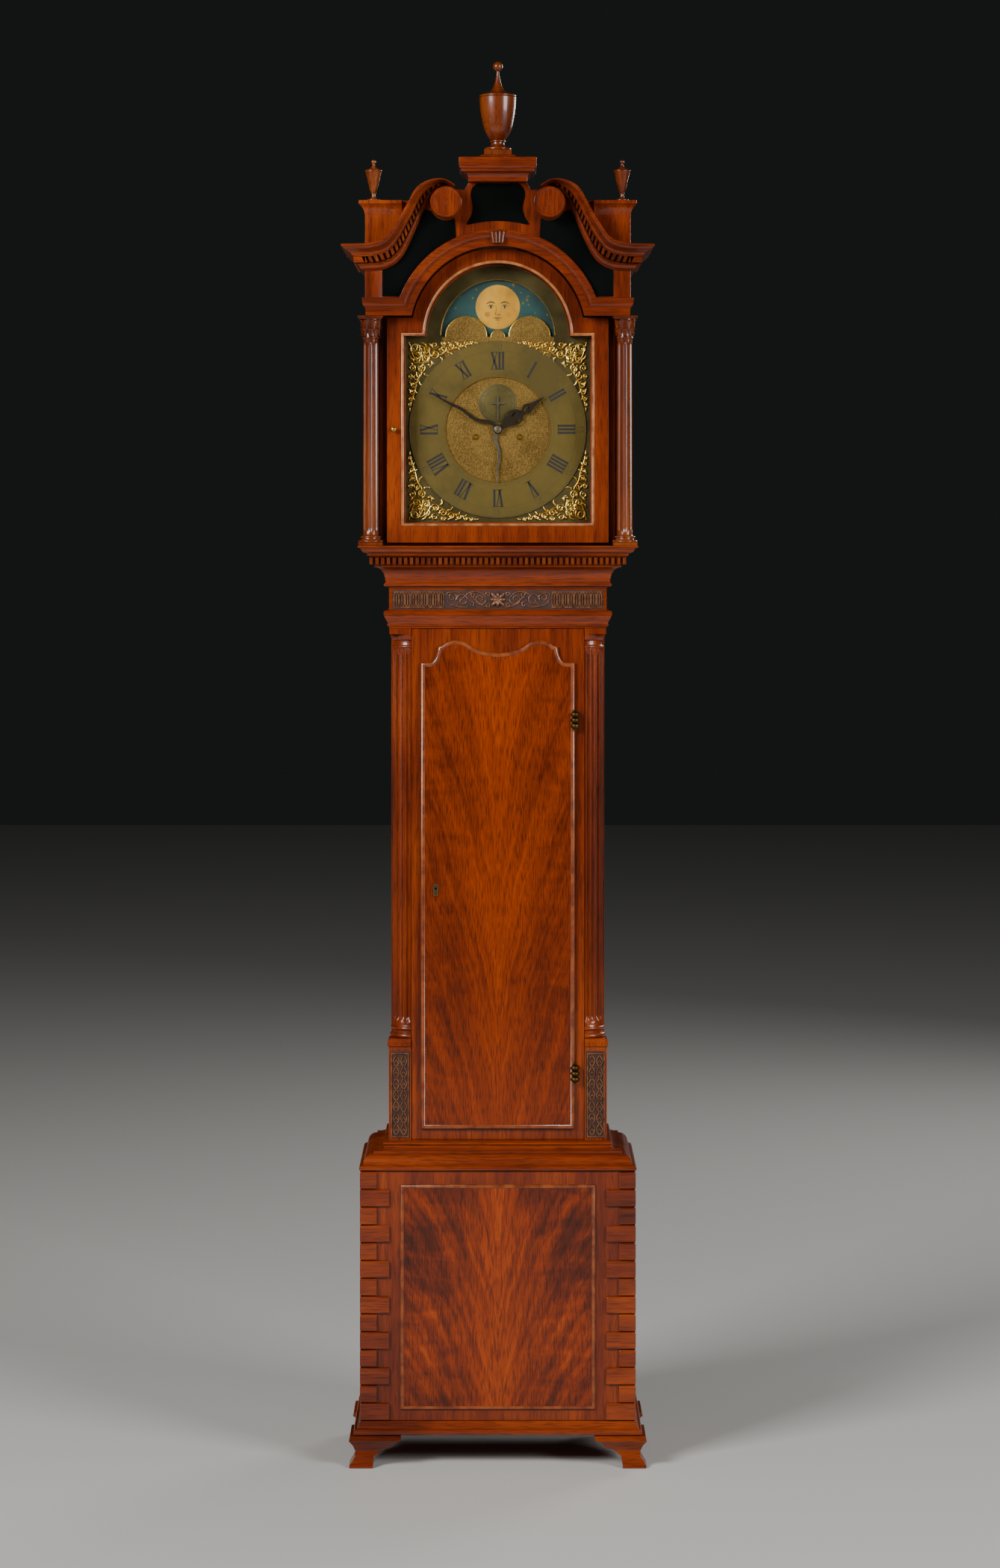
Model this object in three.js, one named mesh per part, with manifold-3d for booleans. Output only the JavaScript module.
// A mahogany longcase clock with an arched brass dial, a swan-neck pediment and an eight-day,
// weight-driven movement with a rolling moon.
//
// Millimetres. +Z is up, the clock faces -Y and +X is on the right as one looks at the dial.
// The origin is on the floor, under the middle of the overall box.
import * as THREE from 'three';
import { mergeVertices } from 'three/addons/utils/BufferGeometryUtils.js';
import Module from 'manifold-3d';

const wasm = await Module();
wasm.setup();

// ---------------------------------------------------------------- driving dimensions
const GAP = 0.3;                 // clearance between pieces that touch
const BACK = 139;                // rear face of the backboard; the case hangs flat on a wall
const BOARD = 15;                // backboard thickness

const FOOT_HEIGHT = 55;
const PLINTH_TOP = 78;
const BASE_TOP = 512;
const BASE_HALF = 235;           // half width over the base sides
const BASE_FRONT = -106;         // front face of the base
const BASE_SIDE = 18;
const QUOIN_PROUD = 5;

const WAIST_TOP = 557;
const TRUNK_HALF = 188;          // half width of the trunk
const TRUNK_FRONT = -49;
const TRUNK_TOP = 1456;
const TRUNK_SIDE = 16;
const CHEEK_TOP = 1668;          // the trunk sides run up inside the hood and carry the seatboard
const CORNER = 36;               // square corner taken by each quarter column

const DOOR_HALF = 135;
const DOOR_BOTTOM = 577;
const DOOR_SHOULDER = 1395;

const HOOD_BASE = 1583;          // underside of the hood
const HOOD_FLOOR = 1601;         // top of the hood's base moulding
const HOOD_SIDE_IN = 208;
const HOOD_SIDE_OUT = 228;
const ENTABLATURE = 2002;        // underside of the moulding over the columns
const ENTABLATURE_TOP = 2033;
const COLUMN_X = 222;
const COLUMN_Y = -83;
const CORNICE_BOTTOM = 2080;
const CORNICE_TOP = 2124;
const CORNICE_HALF = 271.7;      // widest point of the clock
const CORNICE_FRONT = -139;
const BOARD_FRONT = -98;         // front of the pediment board
const WING_HALF = 231.5;         // outer edge of the plinths under the side finials
const PEDESTAL_BOTTOM = 2234;
const PEDESTAL_TOP = 2283;
const TOTAL_HEIGHT = 2448;

const HOOD_DOOR_HALF = 194;
const HOOD_DOOR_FRONT = -73;
const HOOD_DOOR_BACK = -53;

const DIAL_Z = 1805;             // centre of the hands
const DIAL_HALF = 165;           // a 13 inch dial
const DIAL_BOTTOM = 1636;
const ARCH_Z = 1968;             // centre of the break arch and of the moon disc
const ARCH_RADIUS = 131;
const DIAL_FRONT = -37;
const WINDING_X = 38.7;
const WINDING_Z = 1791.5;
const SECONDS_Z = 1851;
const PALLET_Z = 1885;           // pallet arbor, level with the bend of the pendulum's spring
const PENDULUM_Y = 81;
const BOB_Z = 896;

const PLATE_FRONT = -4;          // movement front plate
const PLATE_BACK = 65;
const PLATE_THICKNESS = 3.5;
const PLATE_HALF = 75;
const SEAT_TOP = 1686;
const PLATES_TOP = 1900;

const WEIGHT_X = 50;
const WEIGHT_Y = 29;
const PULLEY_Z = 800;
const PULLEY_RADIUS = 13;

const ROUND = 16;                // sides of an ordinary turned piece

// ---------------------------------------------------------------- finishes
const finish = (color, roughness, metalness = 0) =>
  new THREE.MeshStandardMaterial({ color, roughness, metalness });

const mahogany = finish(0x8a3d18, 0.32);
const crotchMahogany = finish(0x9c4a1a, 0.28);
const pine = finish(0x9b7a4d, 0.75);
const brass = finish(0xb08a3c, 0.35, 1);
const ringBrass = finish(0x8a7f35, 0.45, 1);
const steel = finish(0x6c7076, 0.35, 1);
const blueSteel = finish(0x23262d, 0.3, 1);
const bellMetal = finish(0xb9a878, 0.3, 1);
const castIron = finish(0x3b3c3d, 0.7, 0.4);
const moonPaint = finish(0x0f4a4c, 0.6);
const gut = finish(0xc8b37a, 0.6);
const glass = new THREE.MeshStandardMaterial({
  color: 0xdfe8e6, roughness: 0.05, transparent: true, opacity: 0.25,
});

// ---------------------------------------------------------------- geometry helpers
// A closed geometry as a solid that can be joined and cut.
function solid(geometry) {
  const bare = geometry.clone();
  bare.deleteAttribute('normal');
  bare.deleteAttribute('uv');
  const merged = mergeVertices(bare, 1e-4);
  const corners = merged.index.array;
  const place = merged.attributes.position.array;
  const kept = [];
  let volume = 0;
  const [a, b, c] = [new THREE.Vector3(), new THREE.Vector3(), new THREE.Vector3()];
  for (let i = 0; i < corners.length; i += 3) {
    const [p, q, r] = corners.slice(i, i + 3);
    if (p === q || q === r || p === r) continue;
    kept.push(p, q, r);
    volume += a.fromArray(place, 3 * p).dot(b.fromArray(place, 3 * q).cross(c.fromArray(place, 3 * r)));
  }
  if (volume < 0) kept.reverse();
  return new wasm.Manifold(new wasm.Mesh({
    numProp: 3,
    vertProperties: new Float32Array(place),
    triVerts: new Uint32Array(kept),
  }));
}

// A solid's surface as a three.js geometry.
function surface(body) {
  const mesh = body.getMesh();
  const geometry = new THREE.BufferGeometry();
  geometry.setAttribute('position', new THREE.BufferAttribute(mesh.vertProperties, 3));
  geometry.setIndex(new THREE.BufferAttribute(mesh.triVerts, 1));
  geometry.computeVertexNormals();
  return geometry;
}

const join = (...bodies) => bodies.reduce((sum, body) => sum.add(body));

const AXIS_X = new THREE.Vector3(1, 0, 0);
const AXIS_Y = new THREE.Vector3(0, 1, 0);
const AXIS_Z = new THREE.Vector3(0, 0, 1);

// Outlines are lists of [across, up] pairs or three.js shapes.
const toShape = (outline) => (Array.isArray(outline)
  ? new THREE.Shape(outline.map(([u, v]) => new THREE.Vector2(u, v)))
  : outline);

function extruded(outline, depth, curveSegments) {
  return new THREE.ExtrudeGeometry(toShape(outline), {
    depth, bevelEnabled: false, steps: 1, curveSegments,
  });
}

// An (x, z) outline carried front to back, from y = front to y = back.
function panel(outline, front, back, curveSegments = 6) {
  const geometry = extruded(outline, back - front, curveSegments);
  geometry.applyMatrix4(new THREE.Matrix4().makeBasis(AXIS_X, AXIS_Z, AXIS_Y.clone().negate()));
  return solid(geometry.translate(0, back, 0));
}

// A (y, z) outline carried left to right, from x = left to x = right.
function rail(outline, left, right, curveSegments = 6) {
  const geometry = extruded(outline, right - left, curveSegments);
  geometry.applyMatrix4(new THREE.Matrix4().makeBasis(AXIS_Y, AXIS_Z, AXIS_X));
  return solid(geometry.translate(left, 0, 0));
}

// An (x, y) outline carried upwards, from z = bottom to z = top.
function post(outline, bottom, top, curveSegments = 6) {
  return solid(extruded(outline, top - bottom, curveSegments).translate(0, 0, bottom));
}

function box(x0, x1, y0, y1, z0, z1) {
  const geometry = new THREE.BoxGeometry(x1 - x0, y1 - y0, z1 - z0);
  return solid(geometry.translate((x0 + x1) / 2, (y0 + y1) / 2, (z0 + z1) / 2));
}

// Turned about an upright axis at (x, y); the profile is [radius, z] pairs.
function turnedUpright(profile, x, y, sides = ROUND) {
  const geometry = new THREE.LatheGeometry(profile.map(([r, z]) => new THREE.Vector2(r, z)), sides);
  return solid(geometry.rotateX(Math.PI / 2).translate(x, y, 0));
}

// Turned about a front-to-back axis at (x, z); the profile is [radius, y] pairs.
function turnedAcross(profile, x, z, sides = ROUND) {
  const geometry = new THREE.LatheGeometry(profile.map(([r, y]) => new THREE.Vector2(r, y)), sides);
  return solid(geometry.translate(x, 0, z));
}

const rod = (radius, front, back, x, z, sides = 12) =>
  turnedAcross([[0, front], [radius, front], [radius, back], [0, back]], x, z, sides);

const mirrored = (body) => body.mirror([1, 0, 0]);

// Points on a circle of the given radius, from one angle to another (degrees, anticlockwise).
function arc(cx, cz, radius, from, to, steps) {
  return Array.from({ length: steps + 1 }, (_, i) => {
    const angle = THREE.MathUtils.degToRad(from + ((to - from) * i) / steps);
    return [cx + radius * Math.cos(angle), cz + radius * Math.sin(angle)];
  });
}

// A right half outline, listed from the bottom up, closed with its mirror image.
const symmetric = (half) => [...half, ...half.filter(([x]) => x > 0).reverse().map(([x, z]) => [-x, z])];

// A moulding that runs round the front and both sides of a box, mitred at the corners.
// The section is [projection, z] pairs from the bottom up.
function mouldedBlock(section, half, front, back) {
  const low = section[0][1];
  const high = section.at(-1)[1];
  const reach = Math.max(...section.map(([p]) => p));
  const across = panel(symmetric(section.map(([p, z]) => [half + p, z])), front - reach, back);
  const along = rail([...section.map(([p, z]) => [front - p, z]), [back, high], [back, low]],
    -half - reach, half + reach);
  return across.intersect(along);
}

// A moulding that runs round all four sides of a square block, mitred at the corners.
function mouldedSquare(section, centreX, centreY) {
  const reach = Math.max(...section.map(([p]) => p));
  const shifted = (centre) => symmetric(section).map(([p, z]) => [centre + p, z]);
  return panel(shifted(centreX), centreY - reach, centreY + reach)
    .intersect(rail(shifted(centreY), centreX - reach, centreX + reach));
}

// ---------------------------------------------------------------- the assembly
const clock = new THREE.Group();
clock.name = 'longcase_clock';

function piece(name, body, material) {
  const mesh = new THREE.Mesh(surface(body), material);
  mesh.name = name;
  clock.add(mesh);
}

// The same piece on the left and, mirrored, on the right.
function pair(name, leftBody, material) {
  piece(`${name}_left`, leftBody, material);
  piece(`${name}_right`, mirrored(leftBody), material);
}

// ---------------------------------------------------------------- feet and base
// An ogee bracket foot: two wings that meet at the corner, each cut away underneath in cusps.
function bracketFoot(atBack) {
  const outerX = -257.8;
  const wing = 25;
  const width = 90;
  const top = FOOT_HEIGHT;
  const ogee = [[0, 0], [0, 5], [9, 20], [10, 28], [6, 38], [-0.8, 47], [1, top]];
  const underside = [[width, top], [width, 48], [78, 44], [72, 34], [58, 31], [44, 20], [41, 5], [41, 0]];
  const frontFace = [...ogee, ...underside].map(([u, z]) => [outerX + u, z]);
  const outerY = BASE_FRONT - 23.8;
  const sideFace = atBack
    ? [[0, 0], [0, top], ...underside].map(([u, z]) => [BACK - u, z])
    : [...ogee, ...underside].map(([u, z]) => [outerY + u, z]);
  const [y0, y1] = atBack ? [BACK - width, BACK] : [outerY - 0.8, outerY + width];
  const inner = atBack
    ? box(outerX + wing + 10, 0, y0 - 1, BACK - wing - 10, -1, top + 1)
    : box(outerX + wing + 10, 0, outerY + wing + 10, y1 + 1, -1, top + 1);
  return panel(frontFace, y0, y1)
    .intersect(rail(sideFace, outerX - 1, outerX + width))
    .subtract(inner);
}
pair('foot_front', bracketFoot(false), mahogany);
pair('foot_back', bracketFoot(true), mahogany);

piece('plinth_moulding', mouldedBlock(
  [[15, FOOT_HEIGHT + GAP], [15.7, 62], [13, 65], [11, 70], [5, 74], [4, PLINTH_TOP - GAP]],
  BASE_HALF, BASE_FRONT, BACK,
), mahogany);

// The base front with its raised and beaded panel.
{
  const field = box(-163, 163, BASE_FRONT - 2, BASE_FRONT + 1, 104, 482);
  const bead = box(-170, 170, BASE_FRONT - 4, BASE_FRONT + 1, 97, 489)
    .subtract(box(-163, 163, BASE_FRONT - 5, BASE_FRONT + 2, 104, 482));
  const board = box(-BASE_HALF, BASE_HALF, BASE_FRONT, BASE_FRONT + BASE_SIDE, PLINTH_TOP, BASE_TOP - GAP);
  piece('base_front', join(board, bead, field), crotchMahogany);
}
pair('base_side', box(-BASE_HALF, -BASE_HALF + BASE_SIDE, BASE_FRONT + BASE_SIDE + GAP, BACK,
  PLINTH_TOP, BASE_TOP - GAP), mahogany);

// Quoins: short and long blocks by turns, wrapped round the corner on one thin backing strip.
{
  const pitch = (BASE_TOP - PLINTH_TOP) / 14;
  const x1 = -BASE_HALF - GAP;
  const y1 = BASE_FRONT - GAP;
  const corner = (reach, inner, proud, z0, z1) => post([
    [x1 - proud, y1 - proud], [-BASE_HALF - QUOIN_PROUD + reach, y1 - proud],
    [-BASE_HALF - QUOIN_PROUD + reach, y1 - inner], [x1 - inner, y1 - inner],
    [x1 - inner, BASE_FRONT - QUOIN_PROUD + reach], [x1 - proud, BASE_FRONT - QUOIN_PROUD + reach],
  ], z0, z1);
  const blocks = [corner(29, 0, 2, PLINTH_TOP, BASE_TOP - GAP)];
  for (let i = 0; i < 14; i += 1) {
    const bottom = PLINTH_TOP + i * pitch;
    blocks.push(corner(i % 2 ? 30 : 52, 1, QUOIN_PROUD - GAP, bottom + 0.5, bottom + pitch - 0.5));
  }
  pair('quoins', join(...blocks), mahogany);
}

piece('backboard', panel(symmetric([
  [BASE_HALF - BASE_SIDE - GAP, PLINTH_TOP], [BASE_HALF - BASE_SIDE - GAP, BASE_TOP - GAP],
  [TRUNK_HALF - TRUNK_SIDE - GAP, BASE_TOP - GAP], [TRUNK_HALF - TRUNK_SIDE - GAP, CHEEK_TOP],
  [196, CHEEK_TOP], [196, 2100],
]), BACK - BOARD, BACK), pine);

// ---------------------------------------------------------------- trunk
const waistSection = [
  [51, BASE_TOP], [51, 521], [48, 524], [47, 529], [43, 535], [34, 540],
  [32, 541], [24, 544], [17, 550], [13, 551], [12, 554], [13, WAIST_TOP],
];
piece('waist_moulding', mouldedBlock(waistSection, TRUNK_HALF, TRUNK_FRONT - 11, BACK)
  .subtract(box(-TRUNK_HALF + TRUNK_SIDE, TRUNK_HALF - TRUNK_SIDE, TRUNK_FRONT + 18, BACK + 1,
    BASE_TOP - 1, WAIST_TOP + 1)), mahogany);

// The shaped top of the trunk door: a short shoulder, a rising ogee, an ear and a long dip.
function doorOutline(half, bottom, drop) {
  const shape = new THREE.Shape();
  const shoulder = DOOR_SHOULDER - drop;
  shape.moveTo(-half, bottom);
  shape.lineTo(half, bottom);
  shape.lineTo(half, shoulder);
  shape.lineTo(half - 14, shoulder);
  shape.quadraticCurveTo(107, shoulder + 4, 104, 1424 - drop);
  shape.lineTo(98, 1426 - drop);
  shape.bezierCurveTo(88, 1436 - drop, 70, 1438 - drop, 56, 1429 - drop);
  shape.quadraticCurveTo(36, 1413 - drop, 0, 1412 - drop);
  shape.quadraticCurveTo(-36, 1413 - drop, -56, 1429 - drop);
  shape.bezierCurveTo(-70, 1438 - drop, -88, 1436 - drop, -98, 1426 - drop);
  shape.lineTo(-104, 1424 - drop);
  shape.quadraticCurveTo(-107, shoulder + 4, -(half - 14), shoulder);
  shape.lineTo(-half, shoulder);
  return shape;
}

const FRAME_HALF = TRUNK_HALF - CORNER - GAP;
const OPENING_HALF = 128.5;
const LIP_BACK = TRUNK_FRONT - GAP;
const LIP_FRONT = TRUNK_FRONT - 8;
const TRUNK_HINGE_X = 135.6;
const TRUNK_HINGE_Y = -57.6;
const trunkHingeHeights = { upper: 1295, lower: 675 };

piece('trunk_front_frame', box(-FRAME_HALF, FRAME_HALF, TRUNK_FRONT, TRUNK_FRONT + 18,
  WAIST_TOP + GAP, TRUNK_TOP - GAP)
  .subtract(box(-OPENING_HALF, OPENING_HALF, TRUNK_FRONT - 1, TRUNK_FRONT + 19,
    DOOR_BOTTOM + 7, DOOR_SHOULDER - 10)), mahogany);

pair('trunk_side', rail([
  [TRUNK_FRONT + CORNER + GAP, WAIST_TOP + GAP], [BACK, WAIST_TOP + GAP], [BACK, CHEEK_TOP - GAP],
  [TRUNK_FRONT + CORNER + GAP, CHEEK_TOP - GAP],
], -TRUNK_HALF, -TRUNK_HALF + TRUNK_SIDE), mahogany);

// A fluted quarter column between a square plinth and a small capital.
{
  const cx = -TRUNK_HALF + CORNER - GAP;
  const cy = TRUNK_FRONT + CORNER;
  const square = (reach, bottom, top) => box(cx - reach, cx, cy - reach, cy, bottom, top);
  const quadrant = square(60, WAIST_TOP, TRUNK_TOP);
  const base = turnedUpright([[0, 734], [36, 734], [37, 738], [36, 742], [33, 744], [33, 748], [35, 752],
    [34, 756], [32, 759], [0, 759]], cx, cy, 24).intersect(quadrant);
  const capital = turnedUpright([[0, 1421], [32, 1421], [34, 1424], [32, 1427], [32, 1436], [36, 1442],
    [37, 1446], [0, 1446]], cx, cy, 24).intersect(quadrant);
  const shaftRadius = 32.5;
  const fluteDepth = 3;
  const shaft = [[cx, cy]];
  for (let i = 0; i <= 5; i += 1) {
    const centre = 180 + i * 18;
    if (i > 0) {
      shaft.push(...arc(cx, cy, shaftRadius - fluteDepth, centre - 11, centre - 7, 1));
    }
    shaft.push(...arc(cx, cy, shaftRadius, Math.max(180, centre - 2.5), Math.min(270, centre + 2.5), 1));
  }
  pair('quarter_column', join(
    square(CORNER + 3, WAIST_TOP + GAP, 717), square(CORNER + 5, 716, 735), base,
    post(shaft, 758, 1422), capital, square(CORNER + 2, 1445, TRUNK_TOP - GAP),
  ), mahogany);
}

piece('trunk_door', panel(doorOutline(DOOR_HALF, DOOR_BOTTOM, 0), LIP_FRONT, LIP_BACK, 8)
  .add(box(-OPENING_HALF + 1, OPENING_HALF - 1, LIP_BACK - 1, TRUNK_FRONT + 12,
    DOOR_BOTTOM + 8, DOOR_SHOULDER - 11))
  .subtract(join(...Object.values(trunkHingeHeights).map((z) => turnedUpright(
    [[0, z - 20], [5.2, z - 20], [5.2, z + 20], [0, z + 20]], TRUNK_HINGE_X, TRUNK_HINGE_Y, 16,
  )))), crotchMahogany);

for (const [place, z] of Object.entries(trunkHingeHeights)) {
  const barrel = turnedUpright([[0, z - 19], [1.6, z - 17], [4.3, z - 15], [4.3, z + 15], [1.6, z + 17],
    [0, z + 19]], TRUNK_HINGE_X, TRUNK_HINGE_Y, 16);
  const leaf = box(TRUNK_HINGE_X + 3, 150, -52, TRUNK_FRONT - GAP, z - 14, z + 14);
  const web = box(TRUNK_HINGE_X + 1, TRUNK_HINGE_X + 5, TRUNK_HINGE_Y, -51, z - 14, z + 14);
  piece(`trunk_hinge_${place}`, join(barrel, leaf, web), brass);
}

// Cap moulding, frieze, cove and dentil band under the hood.
piece('throat_moulding', mouldedBlock([
  [3, TRUNK_TOP], [5, 1462], [10, 1470], [12, 1476], [12, 1486], [3, 1487], [3, 1526], [12, 1528], [13, 1536],
  [9, 1538], [11, 1550], [18, 1563], [34, 1566], [36, 1568], [36, HOOD_BASE - GAP],
], TRUNK_HALF, TRUNK_FRONT, BACK)
  .subtract(box(-TRUNK_HALF - GAP, TRUNK_HALF + GAP, TRUNK_FRONT + CORNER, BACK + 1, TRUNK_TOP - 1, HOOD_BASE)),
mahogany);

// ---------------------------------------------------------------- hood
piece('hood_base_moulding', mouldedBlock([
  [40, HOOD_BASE], [42, 1587], [48, 1592], [53, 1597], [56, 1598], [56, HOOD_FLOOR],
], TRUNK_HALF, TRUNK_FRONT - 2, BACK)
  .subtract(box(-200, 200, -38, BACK + 1, HOOD_BASE - 1, HOOD_FLOOR + 1)), mahogany);

pair('hood_side', box(-HOOD_SIDE_OUT, -HOOD_SIDE_IN, HOOD_DOOR_BACK + GAP, BACK,
  HOOD_FLOOR + GAP, CORNICE_TOP), mahogany);

// Openings and door edges share one form: straight sides, square shoulders and a round top.
function archedOutline(half, bottom, shoulder, radius, centreZ, steps) {
  const rise = THREE.MathUtils.radToDeg(Math.asin((shoulder - centreZ) / radius));
  return [[-half, bottom], [half, bottom], [half, shoulder],
    ...arc(0, centreZ, radius, rise, 180 - rise, steps), [-half, shoulder]];
}

piece('hood_mask', box(-HOOD_SIDE_IN + GAP, HOOD_SIDE_IN - GAP, -51, -39.3, HOOD_FLOOR + GAP, 2105)
  .subtract(panel(archedOutline(162, 1642, ARCH_Z, 125, ARCH_Z, 20), -52, -38)), mahogany);

piece('hood_top', box(-HOOD_SIDE_IN + GAP, HOOD_SIDE_IN - GAP, HOOD_DOOR_BACK + GAP, BACK, 2106, 2120), pine);

// A turned and fluted column with a leaf capital and a square abacus.
{
  const bottom = HOOD_FLOOR + GAP;
  const base = turnedUpright([[0, bottom + 5], [20, bottom + 5], [21, 1608], [20, 1611], [16, 1613],
    [15.5, 1615], [17, 1617], [15, 1620], [0, 1620]], -COLUMN_X, COLUMN_Y);
  const flutes = 8;
  const shaft = [];
  for (let i = 0; i < flutes; i += 1) {
    const start = (i * 360) / flutes;
    shaft.push(...arc(-COLUMN_X, COLUMN_Y, 13.3, start, start + 16, 1),
      ...arc(-COLUMN_X, COLUMN_Y, 11.8, start + 26, start + 35, 1));
  }
  const capital = turnedUpright([[0, 1962], [13.3, 1962], [16, 1965], [16, 1967], [13.5, 1969], [14, 1974],
    [17, 1984], [21, 1994], [20, 1997], [0, 1997]], -COLUMN_X, COLUMN_Y);
  const square = (half, z0, z1) => box(-COLUMN_X - half, -COLUMN_X + half, COLUMN_Y - half, COLUMN_Y + half,
    z0, z1);
  pair('hood_column', join(square(21, bottom, bottom + 6), base, post(shaft, 1619, 1963), capital,
    square(22, 1996, ENTABLATURE - GAP)), mahogany);
}

// The arch over the door, the entablature on each side of it and the returns along the hood's sides.
{
  const inner = 154;
  const outer = 182;
  const centre = 1970;
  const angleAt = (radius, z) => THREE.MathUtils.radToDeg(Math.asin((z - centre) / radius));
  const low = angleAt(inner, ENTABLATURE);
  const lowOuter = angleAt(outer, ENTABLATURE);
  const ring = panel([...arc(0, centre, outer, lowOuter, 180 - lowOuter, 28),
    ...arc(0, centre, inner, 180 - low, low, 28)], -97, HOOD_DOOR_BACK - GAP);
  const shelf = panel([[-237, ENTABLATURE_TOP], [-237, 2024], [-230.5, ENTABLATURE],
    ...arc(0, centre, inner, 180 - low, 180 - angleAt(inner, ENTABLATURE_TOP), 3)], -106, HOOD_DOOR_BACK - GAP);
  const sideReturn = panel([[-237, ENTABLATURE_TOP], [-237, 2024], [-230.5, ENTABLATURE],
    [-HOOD_SIDE_OUT - GAP, ENTABLATURE], [-HOOD_SIDE_OUT - GAP, ENTABLATURE_TOP]], -60, BACK);
  const side = shelf.add(sideReturn);
  const keystone = panel([[-10, 2127], [10, 2127], [13, 2151], [-13, 2151]], -109, -96);
  piece('arch_moulding', join(ring, side, mirrored(side), keystone), mahogany);
}

// Top edge of the left swan neck, from the outer corner up to the rosette, as [x, z].
const neckTop = [[-CORNICE_HALF, CORNICE_TOP], [-222, 2126], [-196, 2135], [-177, 2160], [-160, 2188],
  [-143, 2219], [-126, 2232], [-105, 2237.5], [-89, 2235], [-73, 2226]];
const rosette = { x: -90, z: 2197, radius: 27.4 };

// The pediment board stands behind the swan necks; plinths for the side finials rise from its ends.
{
  const edge = [[231, 2033 + GAP], [231, 2123], [200, 2129], [182, 2152], [165, 2178], [148, 2209],
    [130, 2226], [105, 2232], [88, 2230], [72, 2222], [58, 2221], [51, PEDESTAL_BOTTOM - GAP],
    [0, PEDESTAL_BOTTOM - GAP]];
  const arch = rod(182.5, -120, 0, 0, 1970, 56);
  const board = panel(symmetric(edge), BOARD_FRONT + 1, BOARD_FRONT + 20).subtract(arch);
  // The cap's front and side stand proud, but behind the swan neck only its core goes on.
  const cap = mouldedBlock([[-2, 2177], [0, 2177], [2, 2186], [6, 2193], [10.5, 2197], [10.5, 2202.5]],
    WING_HALF, BOARD_FRONT, -68)
    .intersect(join(box(-250, -167, -120, -50, 2170, 2210), box(-168, -150, BOARD_FRONT, -50, 2170, 2210)));
  const plinth = join(
    box(-WING_HALF, -202, BOARD_FRONT, -68, ENTABLATURE_TOP + GAP, 2125),
    box(-WING_HALF, -160, BOARD_FRONT, -68, 2124 + GAP, 2178),
    cap,
  );
  piece('pediment_board', join(board, plinth, mirrored(plinth)), mahogany);
}

// Each swan neck is a carved, dentilled cornice that ends in a rosette and returns along the side.
{
  const underside = [[-226, 2080], [-201, 2082], [-180, 2091], [-163.5, 2109], [-147, 2142.5], [-130, 2180]];
  const midline = [[-128, 2205], [-141, 2196], [-158, 2164], [-173, 2137], [-190, 2116], [-224, 2103],
    [-262, 2103]];
  const back = BOARD_FRONT - GAP;
  const upper = panel([...neckTop, ...midline].reverse(), CORNICE_FRONT, back);
  const lower = panel([...underside, [-118, 2215], [-150, 2200], [-200, 2125], [-236, 2110], [-236, 2080]],
    CORNICE_FRONT + 22, back);
  const boss = rod(rosette.radius, CORNICE_FRONT + 2, back, rosette.x, rosette.z, 28);
  const inward = -HOOD_SIDE_OUT - GAP;
  const sideReturn = panel([[inward, CORNICE_BOTTOM], [-235, CORNICE_BOTTOM], [-240, 2094], [-252, 2098],
    [-256, 2103], [-262, 2108], [-CORNICE_HALF, 2120], [-CORNICE_HALF, CORNICE_TOP], [inward, CORNICE_TOP]],
  CORNICE_FRONT, BACK);
  const plinthRoom = box(-WING_HALF - GAP, -200, BOARD_FRONT - GAP, -68 + GAP, 2030, 2200);
  pair('swan_neck', join(upper, lower, boss, sideReturn).subtract(plinthRoom), mahogany);
}

const FINIAL_Y = -71;         // the pedestal and its finial stand over the pediment board
piece('finial_pedestal', mouldedSquare([
  [51, PEDESTAL_BOTTOM], [54, 2243], [60, 2250], [63, 2251], [63, 2261], [67.4, 2262], [67.4, 2275],
  [26, PEDESTAL_TOP],
], 0, FINIAL_Y), mahogany);

// Urn finials with a turned spire and a ball.
piece('finial_center', join(
  box(-24, 24, FINIAL_Y - 24, FINIAL_Y + 24, PEDESTAL_TOP + GAP, 2293),
  turnedUpright([[0, 2292], [22, 2293], [20, 2298], [11.4, 2304], [13.7, 2309], [15, 2312], [19.5, 2326],
    [25, 2344], [29, 2360], [31.9, 2376], [32.3, 2386], [24, 2390], [12, 2396], [9, 2402], [4, 2418], [2, 2431],
    [6, 2433], [8.7, 2439.3], [6, 2445.6], [0, TOTAL_HEIGHT]], 0, FINIAL_Y),
), mahogany);

pair('finial', turnedUpright([[0, 2202.5 + GAP], [10, 2202.5 + GAP], [9.5, 2206], [3.2, 2212], [3.2, 2216],
  [6, 2221], [9, 2234], [12, 2246], [14.5, 2255.6], [11, 2258], [5, 2261], [2, 2267], [4.1, 2271], [3, 2274],
  [0, 2275]], -217, COLUMN_Y, 12), mahogany);

// ---------------------------------------------------------------- hood door
{
  const outline = archedOutline(HOOD_DOOR_HALF, 1606, 2000, 152, 1970, 24);
  const sight = (grow, front, back) => panel(
    archedOutline(164 + grow, 1640 - grow, ARCH_Z + grow, 127 + grow, ARCH_Z, 24), front, back,
  );
  const rebateFront = -66.3;
  piece('hood_door_frame', panel(outline, HOOD_DOOR_FRONT, HOOD_DOOR_BACK)
    .subtract(sight(0, -80, -40)).subtract(sight(4, rebateFront, -40)), mahogany);
  piece('hood_door_glass', sight(3.7, rebateFront + GAP, rebateFront + 3), glass);
  piece('hood_door_knob', turnedAcross([[0, -73.3], [3.2, -73.3], [3, -77], [5.2, -80], [5, -83], [0, -84.5]],
    -182, 1804, 16), brass);
}

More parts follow.
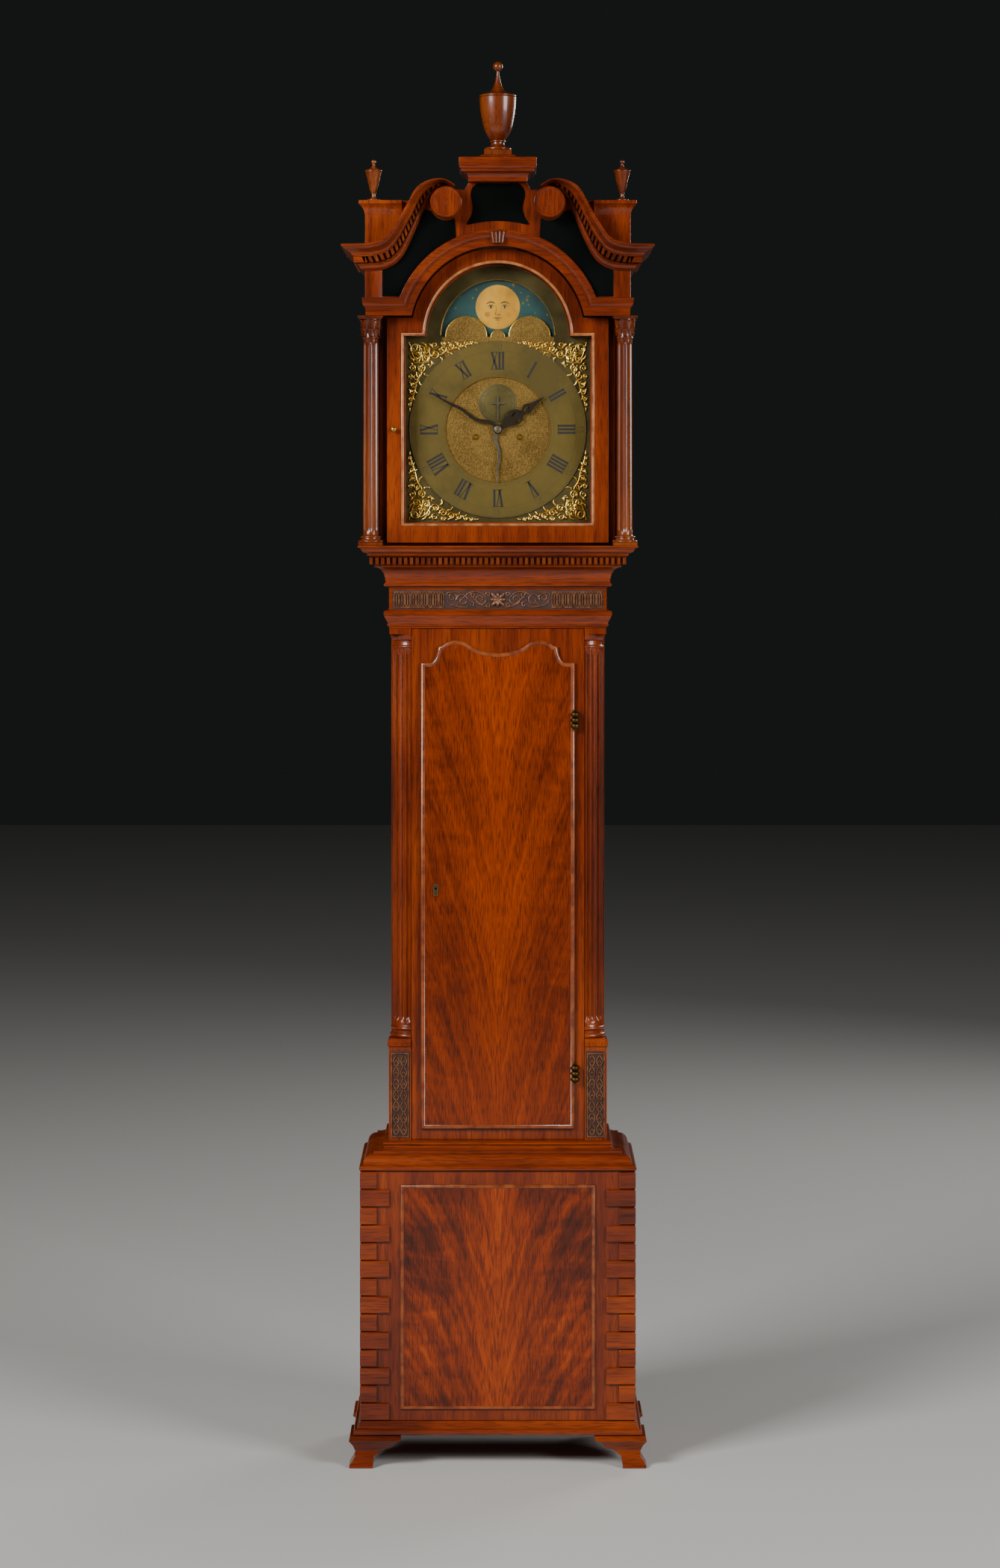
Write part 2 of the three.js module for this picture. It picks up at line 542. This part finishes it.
// ---------------------------------------------------------------- dial
{
  const plate = panel(archedOutline(DIAL_HALF, DIAL_BOTTOM, ARCH_Z, ARCH_RADIUS, ARCH_Z, 32), DIAL_FRONT,
    DIAL_FRONT + 3);
  // The lunar opening: a half circle over two humps, with a small hump in the middle.
  const bump = (x, radius) => rod(radius, -60, 0, x, ARCH_Z, 24);
  const moonOpening = panel(arc(0, ARCH_Z, 100, 0, 180, 28), -60, 0)
    .subtract(join(bump(55.7, 37), bump(-55.7, 37), bump(0, 12.7)));
  const holes = join(rod(6.3, -60, 0, 0, DIAL_Z, 16), rod(4.4, -60, 0, WINDING_X, WINDING_Z, 16),
    rod(4.4, -60, 0, -WINDING_X, WINDING_Z, 16), rod(2.2, -60, 0, 0, SECONDS_Z, 12));
  const dialFeet = [-60, 60].flatMap((x) => [1700, 1868].map((z) =>
    rod(3.5, DIAL_FRONT + 2, PLATE_FRONT - GAP, x, z, 10)));
  const moonStud = rod(3, DIAL_FRONT + 2, -24, 0, ARCH_Z, 10);
  piece('dial_plate', join(plate.subtract(moonOpening).subtract(holes), ...dialFeet, moonStud), brass);
}
piece('chapter_ring', rod(156, -39, DIAL_FRONT - GAP, 0, DIAL_Z, 48)
  .subtract(rod(92, -40, -30, 0, DIAL_Z, 48)), ringBrass);
piece('moon_disc', rod(104, -31.5, -29.5, 0, ARCH_Z, 48).subtract(rod(3.4, -40, 0, 0, ARCH_Z, 12)), moonPaint);

// ---------------------------------------------------------------- hands
// A hand drawn pointing up from its own centre, then turned clockwise and set on the dial.
function hand(outline, clockwise, front, back, centreZ, curveSegments = 6) {
  const geometry = extruded(outline, back - front, curveSegments);
  geometry.applyMatrix4(new THREE.Matrix4().makeBasis(AXIS_X, AXIS_Z, AXIS_Y.clone().negate()));
  geometry.translate(0, back, 0).rotateY(THREE.MathUtils.degToRad(clockwise));
  return solid(geometry.translate(0, 0, centreZ));
}

// A wavy blade: its middle line swings from side to side while its width changes evenly.
function wavyBlade(start, end, sway, waves, widthAtStart, widthAtEnd, steps) {
  const side = (sign) => Array.from({ length: steps + 1 }, (_, i) => {
    const t = i / steps;
    const middle = sway * Math.sin(t * waves * 2 * Math.PI) * (1 - t);
    const halfWidth = THREE.MathUtils.lerp(widthAtStart, widthAtEnd, t);
    return [middle + sign * halfWidth, THREE.MathUtils.lerp(start, end, t)];
  });
  return [...side(1), ...side(-1).reverse()];
}

{
  const blade = new THREE.Shape();
  blade.moveTo(-4, 0);
  blade.lineTo(4, 0);
  blade.bezierCurveTo(3, 22, 13, 26, 14, 38);
  blade.bezierCurveTo(14, 48, 4, 50, 4, 54);
  blade.bezierCurveTo(10, 58, 11, 66, 5, 74);
  blade.lineTo(0.7, 99);
  blade.lineTo(-0.7, 99);
  blade.lineTo(-5, 74);
  blade.bezierCurveTo(-11, 66, -10, 58, -4, 54);
  blade.bezierCurveTo(-4, 50, -14, 48, -14, 38);
  blade.bezierCurveTo(-13, 26, -3, 22, -4, 0);
  for (const [side, z, rx, rz] of [[-1, 37, 3, 6], [1, 37, 3, 6], [0, 63, 3.4, 6]]) {
    const hole = new THREE.Path();
    hole.absellipse(side * 7, z, rx, rz, 0, 2 * Math.PI);
    blade.holes.push(hole);
  }
  const bossAndPipe = rod(8, -44.6, -43.6, 0, DIAL_Z, 20).add(rod(4.2, -44.6, -14, 0, DIAL_Z, 16));
  const wheel = rod(22, -16, -14, 0, DIAL_Z, 24);
  piece('hour_hand', join(hand(blade, 55, -44.6, -43.6, DIAL_Z), bossAndPipe, wheel)
    .subtract(rod(3.1, -60, 0, 0, DIAL_Z, 16)), blueSteel);
}
{
  const blade = hand(wavyBlade(0, 96, 6, 1.5, 3.4, 2.6, 18), 298.4, -46.8, -45.8, DIAL_Z);
  const tip = hand([[-2.6, 92], [2.6, 92], [0.6, 135], [-0.6, 135]], 298.4, -46.8, -45.8, DIAL_Z);
  piece('minute_hand', join(blade, tip, rod(7, -47.4, -45.8, 0, DIAL_Z, 20))
    .subtract(rod(2.8, -60, 0, 0, DIAL_Z, 16)), blueSteel);
}
{
  const blade = hand(wavyBlade(0, 95, 5, 1.5, 3, 0.7, 18), 180, -42.4, -41.6, DIAL_Z);
  const pipe = rod(5.9, -42.4, -27, 0, DIAL_Z, 16);
  const wheel = rod(24, -29, -27, 0, DIAL_Z, 24);
  piece('date_hand', join(blade, rod(8, -42.4, -41.6, 0, DIAL_Z, 20), pipe, wheel)
    .subtract(rod(4.6, -60, 0, 0, DIAL_Z, 16)), steel);
}
piece('seconds_hand', join(
  hand([[-1.4, -13], [1.4, -13], [0.6, 29], [-0.6, 29]], 180, -40.6, -39.8, SECONDS_Z),
  hand([[-13, -1], [13, -1], [13, 1], [-13, 1]], 0, -40.6, -39.8, SECONDS_Z),
  rod(3.4, -40.6, -39.6, 0, SECONDS_Z, 12),
).subtract(rod(1.8, -60, 0, 0, SECONDS_Z, 12)), blueSteel);

// ---------------------------------------------------------------- movement
piece('seatboard', box(-TRUNK_HALF, TRUNK_HALF, TRUNK_FRONT + CORNER + GAP, 66, CHEEK_TOP, SEAT_TOP)
  .subtract(join(...[-1, 1].map((side) => box(side * WEIGHT_X - 20, side * WEIGHT_X + 20, WEIGHT_Y - 6,
    WEIGHT_Y + 6, CHEEK_TOP - 1, SEAT_TOP + 1)))), pine);

const HAMMER_X = 62;
const HAMMER_Z = 1850;
{
  const plate = (front) => box(-PLATE_HALF, PLATE_HALF, front, front + PLATE_THICKNESS, SEAT_TOP + GAP, PLATES_TOP);
  const pillars = [[-64, 1700], [64, 1700], [-42, 1889], [42, 1889]].map(([x, z]) =>
    rod(5, PLATE_FRONT + 1, PLATE_BACK - 1, x, z, 8));
  const pivots = join(rod(3.2, -20, 90, 0, DIAL_Z, 12), rod(2, -20, 90, 0, SECONDS_Z, 12),
    rod(2.9, -20, 90, 0, PALLET_Z, 12), rod(2.4, -20, 90, HAMMER_X, HAMMER_Z, 12),
    rod(4.4, -20, 90, WINDING_X, WINDING_Z, 12), rod(4.4, -20, 90, -WINDING_X, WINDING_Z, 12));
  const backCock = box(-12, 12, PLATE_BACK - 1, 92, PALLET_Z + 4, PLATES_TOP - 2);
  piece('movement_plates', join(plate(PLATE_FRONT), plate(PLATE_BACK - PLATE_THICKNESS), ...pillars)
    .subtract(pivots).add(backCock), brass);
}

// A wheel with crossed-out spokes on its own arbor.
function crossedWheel(radius, arborRadius, wheelFront, arborFront, arborBack, x, z) {
  const rim = rod(radius, wheelFront, wheelFront + 2.5, x, z, 24);
  const window = rod(radius - 4, wheelFront - 1, wheelFront + 4, x, z, 24);
  const across = box(x - radius + 1, x + radius - 1, wheelFront, wheelFront + 2.5, z - 1.5, z + 1.5);
  const up = box(x - 1.5, x + 1.5, wheelFront, wheelFront + 2.5, z - radius + 1, z + radius - 1);
  const hub = rod(5, wheelFront, wheelFront + 2.5, x, z, 12);
  return join(rim.subtract(window), across, up, hub, rod(arborRadius, arborFront, arborBack, x, z, 12));
}
piece('centre_wheel', crossedWheel(28, 2.5, 50, -49, PLATE_BACK - 1, 0, DIAL_Z), brass);
piece('escape_wheel', crossedWheel(24, 1.5, 56, -41.2, PLATE_BACK - 1, 0, SECONDS_Z), brass);

// The pallets bridge the top of the escape wheel; the crutch hangs behind the back plate to the pendulum.
{
  const clear = 26.5;
  const arch = panel([...arc(0, SECONDS_Z, clear + 6, 38, 142, 12), ...arc(0, SECONDS_Z, clear, 142, 38, 12)],
    55.5, 59.5);
  const arbor = rod(2.4, 40, 72, 0, PALLET_Z, 12);
  const crutch = join(box(-3, 3, 69, 72, 1786, PALLET_Z + 2), box(-5.4, 5.4, 69, 72, 1786, 1791),
    box(-5.4, -3.2, 71, 88, 1786, 1791), box(3.2, 5.4, 71, 88, 1786, 1791));
  piece('anchor', join(arch, arbor, crutch), steel);
}

piece('pendulum', join(
  box(-4, 4, PENDULUM_Y - 1, PENDULUM_Y + 1, 1850, PALLET_Z + 3),
  turnedUpright([[0, 846], [2.5, 847], [2.5, 1852], [0, 1853]], 0, PENDULUM_Y, 10),
  turnedUpright([[0, 822], [6, 824], [6, 834], [0, 836]], 0, PENDULUM_Y, 12),
  turnedUpright([[0, 830], [2.2, 831], [2.2, 850], [0, 851]], 0, PENDULUM_Y, 10),
  turnedAcross([[0, PENDULUM_Y - 12], [30, PENDULUM_Y - 9], [54, PENDULUM_Y - 3], [58, PENDULUM_Y],
    [54, PENDULUM_Y + 3], [30, PENDULUM_Y + 9], [0, PENDULUM_Y + 12]], 0, BOB_Z, 28),
), brass);

const BARREL_RADIUS = 26;
function barrel(x) {
  return turnedAcross([[0, -38], [3.4, -38], [3.4, 5], [32, 5], [32, 8], [29, 8], [29, 10],
    [BARREL_RADIUS, 10], [BARREL_RADIUS, 46], [29, 46], [29, 48], [3.4, 48], [3.4, 64.6], [0, 64.6]], x, WINDING_Z);
}
piece('going_barrel', barrel(WINDING_X), brass);
piece('striking_barrel', barrel(-WINDING_X), brass);

// A cast weight with its pulley; the line runs under the pulley between two cheeks.
function weight(x) {
  const body = turnedUpright([[0, 600], [30, 600], [32, 603], [32, 757], [26, 766], [0, 770]], x, WEIGHT_Y);
  const cheek = (y) => box(x - 4, x + 4, y - 1, y + 1, 765, PULLEY_Z + 5);
  return join(body, box(x - 4, x + 4, WEIGHT_Y - 6, WEIGHT_Y + 6, 765, 776), cheek(WEIGHT_Y - 5),
    cheek(WEIGHT_Y + 5), rod(PULLEY_RADIUS, WEIGHT_Y - 2.5, WEIGHT_Y + 2.5, x, PULLEY_Z, 24),
    rod(2, WEIGHT_Y - 6, WEIGHT_Y + 6, x, PULLEY_Z, 10));
}
piece('going_weight', weight(WEIGHT_X), castIron);
piece('striking_weight', weight(-WEIGHT_X), castIron);

// The gut line: down to the pulley, round its underside and up again to the seatboard.
function line(x) {
  const inner = PULLEY_RADIUS + GAP;
  const outer = inner + 2;
  const top = CHEEK_TOP - GAP;
  const outline = [[x + inner, top], ...arc(x, PULLEY_Z, inner, 0, -180, 12), [x - inner, top], [x - outer, top],
    ...arc(x, PULLEY_Z, outer, -180, 0, 12), [x + outer, top]];
  return panel(outline, WEIGHT_Y - 1, WEIGHT_Y + 1);
}
piece('going_line', line(WEIGHT_X), gut);
piece('striking_line', line(-WEIGHT_X), gut);

// The bell stands over the plates; its hammer swings up beside it.
const BELL_Y = 30;
piece('bell', join(
  turnedUpright([[0, 1952], [22, 1949], [37, 1940], [44, 1928], [48, 1912], [45, 1912], [41, 1926], [34, 1937],
    [20, 1945.5], [0, 1948.5]], 0, BELL_Y, 20),
  turnedUpright([[0, 1903], [3, 1903], [3, 1955], [6, 1956], [6, 1960], [0, 1962]], 0, BELL_Y, 12),
  box(-4, 4, PLATE_FRONT, PLATE_BACK, PLATES_TOP + GAP, 1904),
), bellMetal);

piece('hammer', join(
  rod(2, PLATE_FRONT - 1, PLATE_BACK + 1, HAMMER_X, HAMMER_Z, 12),
  box(HAMMER_X - 2, HAMMER_X + 2, BELL_Y - 2, BELL_Y + 2, HAMMER_Z, 1926),
  turnedUpright([[0, 1911], [5, 1912], [7, 1917], [7, 1923], [5, 1928], [0, 1929]], HAMMER_X - 3, BELL_Y, 12),
), steel);

export default clock;
